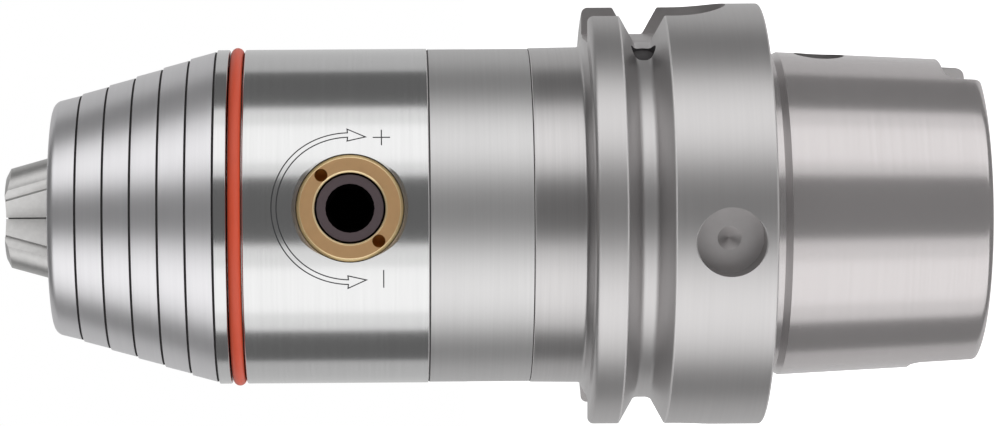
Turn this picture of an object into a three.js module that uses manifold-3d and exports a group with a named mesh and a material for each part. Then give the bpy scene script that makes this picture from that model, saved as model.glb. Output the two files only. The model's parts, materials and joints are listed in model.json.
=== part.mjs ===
// Drill chuck on a hollow-taper shank, tightened from the side through a bevel pinion.
// The frame is in millimetres: Z is the spindle axis, the nose points up (+Z) and z = 0 is the shank's end.
// +X is the middle of the flange's narrow slot, so the wide slot is on -X and the data bore on -Y.
// The chuck is drawn closed.  Turning the pinion turns the drive nut, the nut draws the jaw carrier
// towards the shank, and the carrier's T-slots pull the three jaws down their inclined guides.
import * as THREE from 'three';
import { mergeVertices } from 'three/addons/utils/BufferGeometryUtils.js';
import Module from 'manifold-3d';

const wasm = await Module();
wasm.setup();

// ---------------------------------------------------------------- driving dimensions (mm)
const shank = {
  length: 32, // from the end to the contact face
  gaugeDiameter: 48.01,
  gaugeBehindContact: 6.3,
  taper: 1 / 9.98, // change of diameter along the axis
  endRounding: 1.5,
  mouthDiameter: 34,
  mouthDepth: 8.5,
  clampDiameter: 40,
  clampShoulderDepth: 11,
  clampDepth: 27,
  throatDiameter: 20,
  throatDepth: 42,
  reliefDepth: 0.5,
  reliefWidth: 2.8,
  reliefRamp: 1, // the part of its width that rises to the taper
  reliefIntoFace: 0.3,
  reliefFaceWidth: 0.6, // how far it reaches into the contact face, past the taper
  keyWidth: 12.54, // the driving slots across the end
  keyFlareStart: 17.9, // from the axis, where their sides open out
  keyFlareEnd: 20.8,
  keyOuterWidth: 18.3,
  shortKeyDepth: 5.4,
  longKeyDepth: 10,
  accessDiameter: 7.5,
  accessBehindContact: 9,
};
const flange = {
  diameter: 63,
  width: 26,
  edgeChamfer: 0.4,
  frontRounding: 0.9,
  grooveFromContact: 18,
  grooveWidth: 6.75, // at the flange's outside
  grooveDepth: 4,
  grooveFlankAngle: 30, // each flank, from the radial direction
  slotDepth: 5,
  narrowSlot: 16,
  wideSlot: 18,
  slotStart: 5, // from the contact face to the slot's round end
  dataBoreDiameter: 10,
  dataBoreDepth: 4.6,
  dataBoreFromContact: 6.7,
  markDiameter: 3.6,
  markDepth: 1.2,
  markAngle: -24,
};
const neck = { diameter: 50, length: 8.38, rootFillet: 1.2 };
const spigot = { diameter: 39.4, length: 3.62, fit: 0.3 };
const body = {
  groundDiameter: 50,
  groundLength: 26.99,
  matteLength: 15.19,
  matteInset: 0.1, // from the ground cylinder's surface
  carrierGap: 1.2, // from the jaw carrier to the bore
  gearGap: 1.4, // from the crown gear to the bore
  noseThreadInset: 2.4, // from the ground cylinder's surface
  noseThreadGap: 0.35, // from the bush's hole to the nose's thread
};
const nose = {
  cylinderLength: 2.1,
  segmentLength: 4.05,
  segments: 6,
  segmentSlope: 13.8,
  step: 0.288,
  rimLength: 0.06, // past the last segment
  faceRounding: 1.5,
  boreDiameter: 14,
  threadGap: 0.3,
  shoulderGap: 0.2,
};
const seal = { sectionDiameter: 1.9, standOut: 0.3, landLength: 2.28 };
const jaw = {
  count: 3,
  firstAngle: -22.5,
  standOut: 7.1, // closed, beyond the nose's face
  incline: 17.5,
  grippingGap: 0.12, // closed, from the axis to the gripping edge
  wedgeAngle: 120,
  innerHalfWidth: 2.5,
  guideHalfWidth: 3,
  guideStart: 5.1,
  stepLength: 0.5,
  backRadius: 4,
  backCentre: 3.7,
  tipBevelHeight: 0.75,
  tipBevelWidth: 1.4,
  bodyLength: 18.2,
  opening: 6.25, // how far each jaw moves away from the axis
};
const tee = {
  neckLength: 2.6,
  neckHalfWidth: 2.2,
  headLength: 2,
  headHalfWidth: 3.8,
  inner: 3.6,
};
const carrier = { diameter: 30, topGap: 0.2, thickness: 6.8, stemDiameter: 12, stemEndGap: 2.2 };
const gear = {
  pinionTeeth: 12,
  crownTeeth: 36,
  innerRadius: 10.4,
  outerRadius: 14.8,
  addendum: 0.8, // in modules
  dedendum: 1.15,
  tipShare: 0.2, // tooth width as a share of the pitch
  rootShare: 0.6,
  pinionThinning: 0.08,
  endGap: 0.4, // how far the pinion's teeth stand off the crown's two ends
  weld: 0.2, // how far the shaft's stretches run into each other
};
const drive = { axisFromJoint: 26.62, angle: -79.7 }; // the pinion's axis
const bush = {
  diameter: 15.5,
  sunk: 1, // below the ground cylinder's surface
  bevel: 0.7,
  spannerInset: 1.45, // from the bush's outside to the holes' centres
  spannerDiameter: 1.8,
  spannerDepth: 2.5,
  spannerAngle: 41,
};
const pinion = {
  shaftDiameter: 9.7,
  sunk: 0.4, // below the bush's face
  collarHeight: 0.75,
  collarLength: 1.1,
  hexAcrossFlats: 6,
  hexDepth: 6,
  mouthDiameter: 7.1,
  mouthDepth: 0.6,
};
const washer = { boreGap: 0.25, rimInset: 0.25, thickness: 0.6 };
const nut = {
  seatBelowDrive: 4.5, // from the pinion's axis to the top of the crown gear's seat
  sleeveDiameter: 18,
  lowerDiameter: 16.6,
  topGap: 0.6, // to the carrier when the chuck is open
  bottomGap: 0.6, // to the lock ring's pocket
};
const bearing = {
  plateThickness: 2,
  raceThickness: 2,
  outerGap: 0.6, // to the housing's bore
  plateBoreGap: 1, // to the nut
  ballDiameter: 3.5,
  balls: 10,
  ballPitchDiameter: 24.6,
  ballGap: 0.25,
  cageThickness: 1.4,
  cageInner: 19.2,
  cageInset: 0.4, // from the races' outside
  pocketGap: 0.3,
};
const lockRing = { thickness: 1.8, outerDiameter: 22.4, pocketGap: 0.8, pocketDepth: 4 };
const stemPocket = { gap: 1, depth: 10 };

const clearance = 0.2; // between pieces that slide on each other
const looseFit = 0.3; // between round pieces that turn or drop in
const seatGap = 0.05; // between faces that rest on each other
const overcut = 1; // how far a cutting tool runs past what it cuts
const fine = 40; // sides of the large round pieces
const medium = 24;
const coarse = 20;

// ---------------------------------------------------------------- places worked out from them
const contactZ = shank.length;
const flangeFrontZ = contactZ + flange.width;
const jointZ = flangeFrontZ + neck.length;
const groundZ = jointZ + body.matteLength;
const housingTopZ = groundZ + body.groundLength;
const noseBaseZ = housingTopZ + seal.landLength;
const noseTopZ = noseBaseZ + nose.cylinderLength + nose.segmentLength * nose.segments + nose.rimLength;
const tipZ = noseTopZ + jaw.standOut;
const spigotTopZ = jointZ + spigot.length;
const plateTopZ = spigotTopZ + bearing.plateThickness;
const lowerRaceTopZ = plateTopZ + bearing.raceThickness;
const ballZ = lowerRaceTopZ + bearing.ballGap + bearing.ballDiameter / 2;
const upperRaceZ = ballZ + bearing.ballDiameter / 2 + bearing.ballGap;
const crownZ = upperRaceZ + bearing.raceThickness + clearance;
const driveZ = jointZ + drive.axisFromJoint;
const jawBodyZ = tipZ - jaw.bodyLength;
const carrierTopZ = jawBodyZ - carrier.topGap;
const carrierZ = carrierTopZ - carrier.thickness;
const slant = Math.tan(THREE.MathUtils.degToRad(jaw.incline));
const carrierTravel = jaw.opening / slant;
const nutTopZ = carrierZ - carrierTravel - nut.topGap;
const stemPocketZ = spigotTopZ - stemPocket.depth;
const stemBottomZ = stemPocketZ + carrier.stemEndGap + carrierTravel;
const cavityDiameter = carrier.diameter + 3 * clearance;
const cavityTopZ = carrierTopZ + 2 * clearance;
// The T-heads stay inside the carrier's rim when the chuck is open.
const teeOuter = Math.sqrt((carrier.diameter / 2) ** 2 - tee.headHalfWidth ** 2) - jaw.opening - clearance;
const holeRadius = bush.diameter / 2 + looseFit;
const noseThreadZ = driveZ + holeRadius + body.noseThreadGap;
const noseThreadRadius = body.groundDiameter / 2 - body.noseThreadInset;
// The bore clears the jaw carrier and the crown gear, whichever is larger.
const housingBore = 2 * Math.max(carrier.diameter / 2 + body.carrierGap, gear.outerRadius + body.gearGap);
const stemPocketDiameter = carrier.stemDiameter + 2 * stemPocket.gap;
const ringPocketDiameter = lockRing.outerDiameter + 2 * lockRing.pocketGap;
const slotFloor = flange.diameter / 2 - flange.slotDepth;
const grooveFloor = flange.diameter / 2 - flange.grooveDepth;
// The pinion, its washer and its bush follow each other outwards from the gears.
const teethEnd = gear.outerRadius + gear.endGap;
const collarEnd = teethEnd + pinion.collarLength;
const washerStart = collarEnd + clearance;
const bushInner = washerStart + washer.thickness + clearance;
const bushOuter = body.groundDiameter / 2 - bush.sunk;
const pinionOuter = bushOuter - pinion.sunk;
const bearingInner = nut.lowerDiameter + 2 * looseFit;
const bearingOuter = housingBore - 2 * bearing.outerGap;

// ---------------------------------------------------------------- helpers
const rad = THREE.MathUtils.degToRad;

// A closed geometry as a manifold solid.
function solid(source) {
  const bare = source.clone();
  bare.deleteAttribute('normal');
  bare.deleteAttribute('uv');
  const welded = mergeVertices(bare, 1e-4);
  const corners = welded.index.array;
  const kept = [];
  for (let i = 0; i < corners.length; i += 3) {
    const [a, b, c] = [corners[i], corners[i + 1], corners[i + 2]];
    if (a !== b && b !== c && c !== a) kept.push(a, b, c);
  }
  const mesh = new wasm.Mesh({
    numProp: 3,
    vertProperties: Float32Array.from(welded.attributes.position.array),
    triVerts: Uint32Array.from(kept),
  });
  return new wasm.Manifold(mesh);
}

// A manifold solid as a geometry.
function surface(shape) {
  const mesh = shape.getMesh();
  const geometry = new THREE.BufferGeometry();
  geometry.setAttribute('position', new THREE.BufferAttribute(mesh.vertProperties, 3));
  geometry.setIndex(new THREE.BufferAttribute(mesh.triVerts, 1));
  geometry.computeVertexNormals();
  return geometry;
}

const cut = (stock, ...tools) => tools.reduce((left, tool) => left.subtract(solid(tool)), stock);

// A ring or disc about Z.  The outline is [radius, z] points, up the outside and down the inside.
function turned(outline, sides = fine) {
  const points = [...outline, outline[0]].map(([radius, z]) => new THREE.Vector2(radius, z));
  return new THREE.LatheGeometry(points, sides).rotateX(Math.PI / 2);
}

// The points of a rounded corner about a centre, from one angle to another in degrees.
function arc([radius, z], size, from, to, steps = 2) {
  return Array.from({ length: steps + 1 }, (_, i) => {
    const angle = rad(from + ((to - from) * i) / steps);
    return [radius + size * Math.cos(angle), z + size * Math.sin(angle)];
  });
}

const washerRing = (inner, outer, low, high, sides = medium) =>
  turned([[outer / 2, low], [outer / 2, high], [inner / 2, high], [inner / 2, low]], sides);

// A round bar along Z from one height to another.
function bar(diameter, low, high, sides = medium) {
  const geometry = new THREE.CylinderGeometry(diameter / 2, diameter / 2, high - low, sides);
  return geometry.rotateX(Math.PI / 2).translate(0, 0, (low + high) / 2);
}

// A round bar along X, for what lies on a radius of the chuck.
const radialBar = (diameter, from, to, sides = medium) => bar(diameter, from, to, sides).rotateY(Math.PI / 2);

// A box from its low corner to its high corner.
function block([x0, y0, z0], [x1, y1, z1]) {
  const geometry = new THREE.BoxGeometry(x1 - x0, y1 - y0, z1 - z0);
  return geometry.translate((x0 + x1) / 2, (y0 + y1) / 2, (z0 + z1) / 2);
}

// A prism along Z over a closed outline of [x, y] points.
function prism(outline, low, high) {
  const shape = new THREE.Shape(outline.map(([x, y]) => new THREE.Vector2(x, y)));
  const geometry = new THREE.ExtrudeGeometry(shape, { depth: high - low, bevelEnabled: false });
  return geometry.translate(0, 0, low);
}

const steel = { roughness: 0.35, metalness: 1 };
const finishes = {
  shankSteel: { color: '#aeb0b2', ...steel },
  groundSteel: { color: '#b4b5b6', ...steel },
  noseSteel: { color: '#a9abad', roughness: 0.5, metalness: 1 },
  jawSteel: { color: '#c3c3c2', ...steel },
  innerSteel: { color: '#8d8f92', ...steel },
  blackSteel: { color: '#3c3436', roughness: 0.5, metalness: 0.8 },
  brass: { color: '#b08d57', roughness: 0.35, metalness: 1 },
  rubber: { color: '#c8503a', roughness: 0.6, metalness: 0 },
};

const chuck = new THREE.Group();

function add(name, geometry, finish, parent = chuck) {
  const mesh = new THREE.Mesh(geometry, new THREE.MeshStandardMaterial(finishes[finish]));
  mesh.name = name;
  parent.add(mesh);
  return mesh;
}

// ---------------------------------------------------------------- shank, flange and neck
function shankRadius(z) {
  const gaugeZ = contactZ - shank.gaugeBehindContact;
  return shank.gaugeDiameter / 2 - ((gaugeZ - z) * shank.taper) / 2;
}

// A driving slot of the flange, open to the front, with its round end towards the contact face.
function flangeSlot(width, side) {
  const endZ = contactZ + flange.slotStart + width / 2;
  const inner = slotFloor;
  const outer = flange.diameter / 2 + overcut;
  const channel = block([inner, -width / 2, endZ], [outer, width / 2, flangeFrontZ + overcut]);
  const end = radialBar(width, inner, outer, coarse).translate(0, 0, endZ);
  const tool = solid(channel).add(solid(end));
  return side > 0 ? tool : tool.rotate([0, 0, 180]);
}

function adapterOutline() {
  const rim = flange.diameter / 2;
  const floor = grooveFloor;
  const flank = (rim - floor) * Math.tan(rad(flange.grooveFlankAngle));
  const grooveZ = contactZ + flange.grooveFromContact;
  const half = flange.grooveWidth / 2;
  const reliefZ = contactZ - shank.reliefWidth;
  const relief = shankRadius(reliefZ) - shank.reliefDepth;
  const faceStart = shankRadius(reliefZ) + shank.reliefFaceWidth;
  const endRadius = shankRadius(shank.endRounding);
  const neckRadius = neck.diameter / 2;
  return [
    ...arc([endRadius - shank.endRounding, shank.endRounding], shank.endRounding, -90, 0),
    [shankRadius(reliefZ), reliefZ],
    [relief, reliefZ + shank.reliefRamp],
    [relief, contactZ + shank.reliefIntoFace],
    [faceStart, contactZ + shank.reliefIntoFace],
    [faceStart, contactZ],
    [rim - flange.edgeChamfer, contactZ],
    [rim, contactZ + flange.edgeChamfer],
    [rim, grooveZ - half],
    [floor, grooveZ - half + flank],
    [floor, grooveZ + half - flank],
    [rim, grooveZ + half],
    ...arc([rim - flange.frontRounding, flangeFrontZ - flange.frontRounding], flange.frontRounding, 0, 90),
    ...arc([neckRadius + neck.rootFillet, flangeFrontZ + neck.rootFillet], neck.rootFillet, 270, 180),
    [neckRadius, jointZ],
    [spigot.diameter / 2, jointZ],
    [spigot.diameter / 2, spigotTopZ],
    [ringPocketDiameter / 2, spigotTopZ],
    [ringPocketDiameter / 2, spigotTopZ - lockRing.pocketDepth],
    [stemPocketDiameter / 2, spigotTopZ - lockRing.pocketDepth],
    [stemPocketDiameter / 2, stemPocketZ],
    [0, stemPocketZ],
    [0, shank.throatDepth],
    [shank.throatDiameter / 2, shank.throatDepth],
    [shank.throatDiameter / 2, shank.clampDepth],
    [shank.clampDiameter / 2, shank.clampDepth],
    [shank.clampDiameter / 2, shank.clampShoulderDepth],
    [shank.mouthDiameter / 2, shank.mouthDepth],
    [shank.mouthDiameter / 2, 0],
  ];
}

// A driving slot across the shank's end, whose sides open out towards the outside.
function keySlot(depth, turn) {
  const inner = shank.keyWidth / 2;
  const outer = shank.keyOuterWidth / 2;
  const side = [[0, inner], [shank.keyFlareStart, inner], [shank.keyFlareEnd, outer], [flange.diameter / 2, outer]];
  const mirrored = side.map(([x, y]) => [x, -y]).reverse();
  return prism([...mirrored, ...side], -overcut, depth).rotateZ(turn);
}

function adapter() {
  const reach = flange.diameter / 2 + overcut;
  const boreZ = contactZ + flange.dataBoreFromContact;
  const boreFloor = flange.diameter / 2 - flange.dataBoreDepth;
  const markZ = contactZ + flange.grooveFromContact;
  const markFloor = grooveFloor - flange.markDepth;
  const drilled = cut(
    solid(turned(adapterOutline())),
    keySlot(shank.shortKeyDepth, 0),
    keySlot(shank.longKeyDepth, Math.PI),
    radialBar(shank.accessDiameter, 0, reach, coarse).translate(0, 0, contactZ - shank.accessBehindContact),
    radialBar(flange.dataBoreDiameter, boreFloor, reach, coarse).translate(0, 0, boreZ).rotateZ(-Math.PI / 2),
    radialBar(flange.markDiameter, markFloor, reach, 10).translate(0, 0, markZ).rotateZ(rad(flange.markAngle)),
  );
  const slotted = drilled.subtract(flangeSlot(flange.narrowSlot, 1)).subtract(flangeSlot(flange.wideSlot, -1));
  return surface(slotted);
}
add('hsk_adapter', adapter(), 'shankSteel');

// ---------------------------------------------------------------- housing, nose and seal
function housing() {
  const recess = spigot.diameter / 2 + spigot.fit;
  const outside = body.groundDiameter / 2;
  const outline = [
    [outside - body.matteInset, jointZ],
    [outside - body.matteInset, groundZ],
    [outside, groundZ],
    [outside, housingTopZ],
    [noseThreadRadius + nose.threadGap, housingTopZ],
    [noseThreadRadius + nose.threadGap, noseThreadZ],
    [housingBore / 2, noseThreadZ],
    [housingBore / 2, plateTopZ + seatGap],
    [recess, plateTopZ + seatGap],
    [recess, jointZ],
  ];
  const hole = radialBar(2 * holeRadius, 0, body.groundDiameter).translate(0, 0, driveZ);
  return surface(cut(solid(turned(outline)), hole.rotateZ(rad(drive.angle))));
}
add('housing', housing(), 'groundSteel');

// The outline of a jaw across Z, in the plane of its tip.  The way it slides shifts this outline
// outwards as it goes down, so a jaw and its guide are the same prism, sheared.
function jawOutline(inner, gap) {
  const centre = jaw.backCentre;
  const radius = jaw.backRadius + gap;
  const guide = jaw.guideHalfWidth + gap;
  const edge = THREE.MathUtils.radToDeg(Math.asin(guide / radius));
  const step = jaw.innerHalfWidth + gap;
  return [
    [inner, -step],
    [jaw.guideStart - jaw.stepLength, -step],
    [jaw.guideStart, -guide],
    ...arc([centre, 0], radius, -edge, edge, 8),
    [jaw.guideStart, guide],
    [jaw.guideStart - jaw.stepLength, step],
    [inner, step],
  ];
}

// Shear a prism so that its section moves outwards by the incline below the jaws' tips.
function inclined(outline, low, high) {
  const shear = new THREE.Matrix4().makeShear(0, 0, 0, 0, -slant, 0);
  return prism(outline, low - tipZ, high - tipZ).applyMatrix4(shear).translate(0, 0, tipZ);
}

function noseCone() {
  const rise = nose.segmentLength * Math.tan(rad(nose.segmentSlope));
  const outside = [[body.groundDiameter / 2, noseBaseZ]];
  let radius = body.groundDiameter / 2;
  let z = noseBaseZ + nose.cylinderLength;
  for (let i = 0; i < nose.segments; i += 1) {
    outside.push([radius, z]);
    outside.push([radius - nose.step, z]);
    radius -= nose.step + rise;
    z += nose.segmentLength;
  }
  const outline = [
    [noseThreadRadius, noseThreadZ + nose.shoulderGap],
    [noseThreadRadius, noseBaseZ],
    ...outside,
    ...arc([radius - nose.faceRounding, noseTopZ - nose.faceRounding], nose.faceRounding, 0, 90),
    [nose.boreDiameter / 2, noseTopZ],
    [nose.boreDiameter / 2, cavityTopZ],
    [cavityDiameter / 2, cavityTopZ],
    [cavityDiameter / 2, noseThreadZ + nose.shoulderGap],
  ];
  const guides = [];
  for (let i = 0; i < jaw.count; i += 1) {
    const guide = inclined(jawOutline(0, clearance), noseThreadZ - overcut, noseTopZ + overcut);
    guides.push(guide.rotateZ(rad(jaw.firstAngle + (i * 360) / jaw.count)));
  }
  return surface(cut(solid(turned(outline)), ...guides));
}
add('nose_cone', noseCone(), 'noseSteel');

const sealRadius = (body.groundDiameter - seal.sectionDiameter) / 2 + seal.standOut;
const sealRing = new THREE.TorusGeometry(sealRadius, seal.sectionDiameter / 2, 6, fine);
add('seal_ring', sealRing, 'rubber').position.z = (housingTopZ + noseBaseZ) / 2;

// ---------------------------------------------------------------- jaws and their carrier
function jawSolid() {
  const reach = body.groundDiameter;
  const side = reach * Math.tan(rad(jaw.wedgeAngle / 2));
  const edge = jaw.grippingGap;
  const stock = solid(inclined(jawOutline(-reach / 2, 0), jawBodyZ, tipZ));
  const wedge = solid(prism([[edge, 0], [reach, -side], [reach, side]], jawBodyZ - overcut, tipZ + overcut));
  const back = jaw.backCentre + jaw.backRadius;
  const bevel = (overcut * jaw.tipBevelWidth) / jaw.tipBevelHeight;
  const cone = turned([
    [back + bevel, tipZ - jaw.tipBevelHeight - overcut],
    [back + reach, tipZ - jaw.tipBevelHeight - overcut],
    [back + reach, tipZ + overcut],
    [back - jaw.tipBevelWidth - bevel, tipZ + overcut],
  ], medium);
  const headZ = jawBodyZ - tee.neckLength - tee.headLength;
  const stem = block([tee.inner, -tee.neckHalfWidth, headZ], [teeOuter, tee.neckHalfWidth, jawBodyZ + overcut]);
  const head = block([tee.inner, -tee.headHalfWidth, headZ], [teeOuter, tee.headHalfWidth, headZ + tee.headLength]);
  return surface(cut(stock.intersect(wedge), cone).add(solid(stem)).add(solid(head)));
}
for (let i = 0; i < jaw.count; i += 1) {
  add(`jaw_${i + 1}`, jawSolid(), 'jawSteel').rotation.z = rad(jaw.firstAngle + (i * 360) / jaw.count);
}

function jawCarrier() {
  const headZ = jawBodyZ - tee.neckLength - tee.headLength;
  const plate = solid(bar(carrier.diameter, carrierZ, carrierTopZ));
  const stem = solid(bar(carrier.stemDiameter, stemBottomZ, carrierZ + overcut, 24));
  const slots = [];
  for (let i = 0; i < jaw.count; i += 1) {
    const turn = rad(jaw.firstAngle + (i * 360) / jaw.count);
    const inner = tee.inner - 2 * clearance;
    const neckHalf = tee.neckHalfWidth + clearance;
    const headHalf = tee.headHalfWidth + clearance;
    const headTop = headZ + tee.headLength + clearance;
    const throat = block([inner, -neckHalf, headZ], [carrier.diameter, neckHalf, carrierTopZ + overcut]);
    const tunnel = block([inner, -headHalf, headZ - clearance], [carrier.diameter, headHalf, headTop]);
    slots.push(throat.rotateZ(turn), tunnel.rotateZ(turn));
  }
  return surface(cut(plate.add(stem), ...slots));
}
add('jaw_carrier', jawCarrier(), 'innerSteel');

// ---------------------------------------------------------------- bevel gears, drive nut and bearing
// Both gears' teeth taper to the point where their axes cross, so each is one section that
// grows in proportion to its distance from the spindle's axis.
const pitchSlope = gear.pinionTeeth / gear.crownTeeth;
const moduleShare = 2 / gear.crownTeeth; // the module at a radius of 1
const tipReach = gear.addendum * moduleShare;
const rootReach = gear.dedendum * moduleShare;

function crownGear() {
  const pitch = 360 / gear.crownTeeth;
  const flanks = [
    [-gear.rootShare / 2, pitchSlope + rootReach],
    [-gear.tipShare / 2, pitchSlope - tipReach],
    [gear.tipShare / 2, pitchSlope - tipReach],
    [gear.rootShare / 2, pitchSlope + rootReach],
  ];
  const positions = [];
  for (let tooth = 0; tooth < gear.crownTeeth; tooth += 1) {
    for (const [share, slope] of flanks) {
      const angle = rad(drive.angle + (tooth + 0.5 + share) * pitch);
      const [x, y] = [Math.cos(angle), Math.sin(angle)];
      const [inner, outer] = [gear.innerRadius, gear.outerRadius];
      positions.push(inner * x, inner * y, crownZ, outer * x, outer * y, crownZ);
      positions.push(outer * x, outer * y, driveZ - outer * slope, inner * x, inner * y, driveZ - inner * slope);
    }
  }
  const corners = [];
  const rows = positions.length / 12;
  for (let row = 0; row < rows; row += 1) {
    for (let side = 0; side < 4; side += 1) {
      const [a, b] = [row * 4 + side, row * 4 + ((side + 1) % 4)];
      const [c, d] = [((row + 1) % rows) * 4 + side, ((row + 1) % rows) * 4 + ((side + 1) % 4)];
      corners.push(a, c, b, b, c, d);
    }
  }
  const geometry = new THREE.BufferGeometry();
  geometry.setAttribute('position', new THREE.Float32BufferAttribute(positions, 3));
  geometry.setIndex(corners);
  geometry.computeVertexNormals();
  return geometry;
}
add('crown_gear', crownGear(), 'innerSteel');

// The pinion's teeth, along X from the gears' inner end to their outer end.
function pinionTeeth(inner, outer) {
  const pitch = 360 / gear.pinionTeeth;
  const outline = [];
  for (let tooth = 0; tooth < gear.pinionTeeth; tooth += 1) {
    const rootHalf = gear.rootShare / 2 - gear.pinionThinning;
    const tipHalf = gear.tipShare / 2;
    for (const [share, size] of [
      [-rootHalf, pitchSlope - rootReach],
      [-tipHalf, pitchSlope + tipReach],
      [tipHalf, pitchSlope + tipReach],
      [rootHalf, pitchSlope - rootReach],
    ]) {
      const angle = rad((tooth + share) * pitch);
      outline.push([size * outer * Math.cos(angle), size * outer * Math.sin(angle)]);
    }
  }
  const geometry = prism(outline, inner, outer);
  const place = geometry.attributes.position;
  for (let i = 0; i < place.count; i += 1) {
    const share = place.getZ(i) / outer;
    place.setXY(i, place.getX(i) * share, place.getY(i) * share);
  }
  return geometry.rotateY(Math.PI / 2);
}

function drivePinion() {
  const collarDiameter = pinion.shaftDiameter + 2 * pinion.collarHeight;
  const teeth = solid(pinionTeeth(gear.innerRadius + gear.endGap, teethEnd));
  const collar = solid(radialBar(collarDiameter, teethEnd - gear.weld, collarEnd, 24));
  const shaft = solid(radialBar(pinion.shaftDiameter, collarEnd - gear.weld, pinionOuter, 24));
  const socketEnd = pinionOuter - pinion.hexDepth;
  const hexDiameter = pinion.hexAcrossFlats / Math.cos(Math.PI / 6);
  return surface(cut(
    teeth.add(collar).add(shaft),
    radialBar(hexDiameter, socketEnd, pinionOuter + overcut, 6).rotateX(Math.PI / 6),
    radialBar(pinion.mouthDiameter, pinionOuter - pinion.mouthDepth, pinionOuter + overcut, 24),
  ));
}

function pinionBush() {
  const half = bush.diameter / 2;
  const bore = pinion.shaftDiameter / 2 + looseFit;
  const outline = [
    [half, bushInner],
    [half, bushOuter - bush.bevel],
    [half - bush.bevel, bushOuter],
    [bore, bushOuter],
    [bore, bushInner],
  ];
  const holes = [0, 180].map((turn) =>
    radialBar(bush.spannerDiameter, bushOuter - bush.spannerDepth, bushOuter + overcut, 10)
      .translate(0, half - bush.spannerInset, 0)
      .rotateX(rad(bush.spannerAngle + turn)));
  return surface(cut(solid(turned(outline, medium).rotateY(Math.PI / 2)), ...holes));
}

const actuator = new THREE.Group();
actuator.position.z = driveZ;
actuator.rotation.z = rad(drive.angle);
chuck.add(actuator);
add('drive_pinion', drivePinion(), 'blackSteel', actuator);
add('pinion_bush', pinionBush(), 'brass', actuator);
const washerInner = pinion.shaftDiameter + 2 * washer.boreGap;
const washerOuter = bush.diameter - 2 * washer.rimInset;
const pinionWasher = washerRing(washerInner, washerOuter, washerStart, washerStart + washer.thickness, 24);
add('pinion_washer', pinionWasher.rotateY(Math.PI / 2), 'innerSteel', actuator);

const nutBore = carrier.stemDiameter / 2 + looseFit;
const nutSeat = gear.innerRadius - looseFit;
const seatTopZ = driveZ - nut.seatBelowDrive;
const nutBottomZ = spigotTopZ - lockRing.pocketDepth + nut.bottomGap;
const driveNut = turned([
  [nut.lowerDiameter / 2, nutBottomZ],
  [nut.lowerDiameter / 2, crownZ],
  [nutSeat, crownZ],
  [nutSeat, seatTopZ],
  [nut.sleeveDiameter / 2, seatTopZ],
  [nut.sleeveDiameter / 2, nutTopZ],
  [nutBore, nutTopZ],
  [nutBore, nutBottomZ],
], medium);
add('drive_nut', driveNut, 'innerSteel');

const ringZ = spigotTopZ - looseFit - lockRing.thickness;
const ringInner = nut.lowerDiameter + 2 * looseFit;
const nutLockRing = washerRing(ringInner, lockRing.outerDiameter, ringZ, ringZ + lockRing.thickness);
add('nut_lock_ring', nutLockRing, 'innerSteel');

const plateZ = spigotTopZ + seatGap;
const plateBore = nut.lowerDiameter + 2 * bearing.plateBoreGap;
add('bearing_plate', washerRing(plateBore, spigot.diameter, plateZ, plateTopZ), 'innerSteel');
const race = (low) => washerRing(bearingInner, bearingOuter, low, low + bearing.raceThickness - seatGap);
add('lower_race', race(plateTopZ + seatGap), 'jawSteel');
add('upper_race', race(upperRaceZ), 'jawSteel');

function ballCage() {
  const half = bearing.cageThickness / 2;
  const ring = washerRing(bearing.cageInner, bearingOuter - 2 * bearing.cageInset, ballZ - half, ballZ + half);
  const pocket = bearing.ballDiameter + 2 * bearing.pocketGap;
  const pockets = Array.from({ length: bearing.balls }, (_, i) =>
    bar(pocket, ballZ - bearing.cageThickness, ballZ + bearing.cageThickness, 10)
      .translate(bearing.ballPitchDiameter / 2, 0, 0)
      .rotateZ((i * 2 * Math.PI) / bearing.balls));
  return surface(cut(solid(ring), ...pockets));
}
add('ball_cage', ballCage(), 'brass');

for (let i = 0; i < bearing.balls; i += 1) {
  const angle = (i * 2 * Math.PI) / bearing.balls;
  const ball = add(`ball_${i + 1}`, new THREE.SphereGeometry(bearing.ballDiameter / 2, 8, 6), 'jawSteel');
  const reach = bearing.ballPitchDiameter / 2;
  ball.position.set(reach * Math.cos(angle), reach * Math.sin(angle), ballZ);
}

export default chuck;
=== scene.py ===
"""Looks of a drill chuck on a hollow-taper shank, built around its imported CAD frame.

Every length in this file is in millimetres and is turned to metres when a mesh is made.  The frame is the
CAD model's: Z is the spindle axis, the nose points up, and z = 0 is the shank's end.
"""

import json
import logging
import math
from dataclasses import dataclass, field
from enum import Enum

import bmesh
import bpy
import numpy as np
from mathutils import Matrix, Vector

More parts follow.
